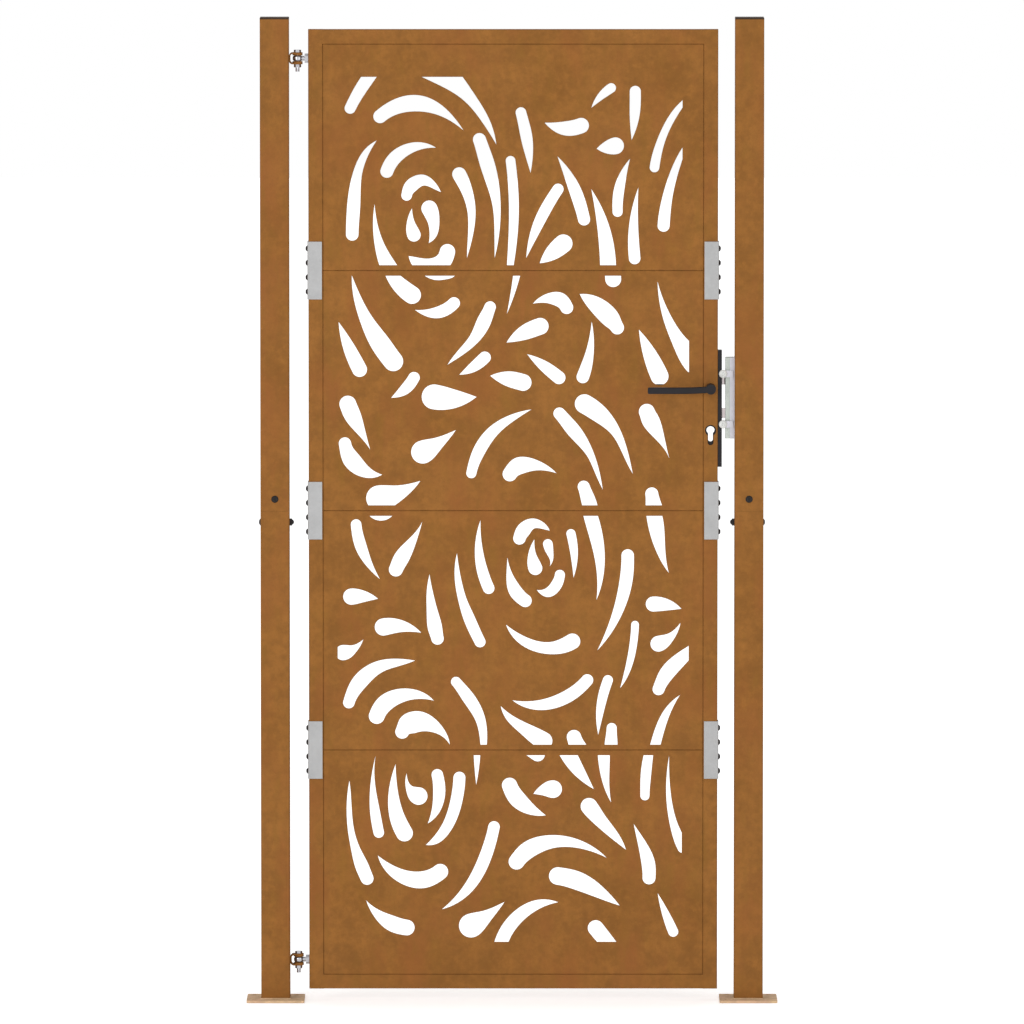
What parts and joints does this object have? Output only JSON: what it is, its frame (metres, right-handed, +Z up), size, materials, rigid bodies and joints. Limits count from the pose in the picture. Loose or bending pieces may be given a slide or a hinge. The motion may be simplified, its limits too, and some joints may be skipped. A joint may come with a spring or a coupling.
{
  "type": "garden gate",
  "caption": "Pedestrian gate of weathering steel: a leaf of pierced sheet panels with a leaf-shaped pattern, hung on pin hinges between bolted-down posts, with a lever lock.",
  "frame": {"origin": "centre of the gate between the two posts, at the underside of the base plates", "axes": "+Z up; +X along the gate from the hinge post to the lock post; +Y through the leaf, in the direction it opens"},
  "size_m": [1.105, 0.12, 2.05],
  "materials": {
    "weathered_steel": "matte rust patina, finely mottled",
    "base_plate_steel": "matte, pale tan rust bloom",
    "galvanised_steel": "matte zinc",
    "zinc_hardware": "satin zinc plate",
    "keep_steel": "satin galvanised",
    "bolt_steel": "satin steel",
    "lock_steel": "dark phosphate",
    "black_coated_metal": "black powder coat",
    "black_fasteners": "black oxide",
    "black_plastic": "moulded black plastic",
    "stop_rubber_steel": "satin zinc"
  },
  "bodies": {
    "posts": {"post_lower_left": "weathered_steel", "post_upper_left": "weathered_steel", "post_lower_right": "weathered_steel", "post_upper_right": "weathered_steel", "hinge_bracket_bottom": "weathered_steel", "hinge_bracket_top": "weathered_steel", "base_plate_left": "base_plate_steel", "post_cap_left": "black_plastic", "post_sleeve_left": "galvanised_steel", "post_fasteners_left": "black_fasteners", "base_plate_right": "base_plate_steel", "post_cap_right": "black_plastic", "post_sleeve_right": "galvanised_steel", "post_fasteners_right": "black_fasteners", "hinge_pin_bottom": "zinc_hardware", "hinge_pin_top": "zinc_hardware", "hinge_nuts": "zinc_hardware", "keep_base": "keep_steel", "keep_strike": "keep_steel", "keep_screws": "zinc_hardware", "keep_stops": "stop_rubber_steel"},
    "leaf": {"stile_left_1": "weathered_steel", "stile_left_2": "weathered_steel", "stile_left_3": "weathered_steel", "stile_left_4": "weathered_steel", "stile_right_1": "weathered_steel", "stile_right_2": "weathered_steel", "stile_right_3": "weathered_steel", "stile_right_4": "weathered_steel", "panel_1": "weathered_steel", "panel_2": "weathered_steel", "panel_3": "weathered_steel", "panel_4": "weathered_steel", "rail_bottom": "weathered_steel", "rail_top": "weathered_steel", "joint_screws_left": "black_fasteners", "nut_strips_left": "galvanised_steel", "joint_plate_left_1": "galvanised_steel", "joint_plate_left_2": "galvanised_steel", "joint_plate_left_3": "galvanised_steel", "joint_screws_right": "black_fasteners", "nut_strips_right": "galvanised_steel", "joint_plate_right_1": "galvanised_steel", "joint_plate_right_2": "galvanised_steel", "joint_plate_right_3": "galvanised_steel", "eyebolt_bottom": "zinc_hardware", "eyebolt_nuts_bottom": "zinc_hardware", "eyebolt_top": "zinc_hardware", "eyebolt_nuts_top": "zinc_hardware", "panel_fasteners": "black_fasteners", "lock_case": "lock_steel", "lock_forend": "black_coated_metal", "lock_forend_screws": "black_fasteners"},
    "lever": {"handle_front": "black_coated_metal", "handle_rear": "black_coated_metal", "handle_spindle": "lock_steel", "lock_follower": "lock_steel", "handle_grub_screws": "black_fasteners"},
    "latch": {"latch_bolt": "bolt_steel"},
    "deadbolt": {"deadbolt": "bolt_steel"}
  },
  "joints": [
    {"name": "leaf_swing", "type": "hinge", "parent": "posts", "child": "leaf", "pos_m": [-0.4447, 0, 1.025], "axis": [0, 0, 1], "range_deg": [0, 90]},
    {"name": "lever_turn", "type": "hinge", "parent": "leaf", "child": "lever", "pos_m": [0.4125, 0, 1.28], "axis": [0, -1, 0], "range_deg": [0, 40], "stiffness_Nm_per_rad": 1.5, "springref_deg": -28.65},
    {"name": "latch_slide", "type": "slide", "parent": "leaf", "child": "latch", "axis": [-1, 0, 0], "range_m": [0, 0.016]},
    {"name": "deadbolt_slide", "type": "slide", "parent": "leaf", "child": "deadbolt", "axis": [-1, 0, 0], "range_m": [0, 0.02]}
  ],
  "couplings": [
    {"joint": "latch_slide", "follows": "lever_turn", "m_per_rad": 0.0225}
  ]
}
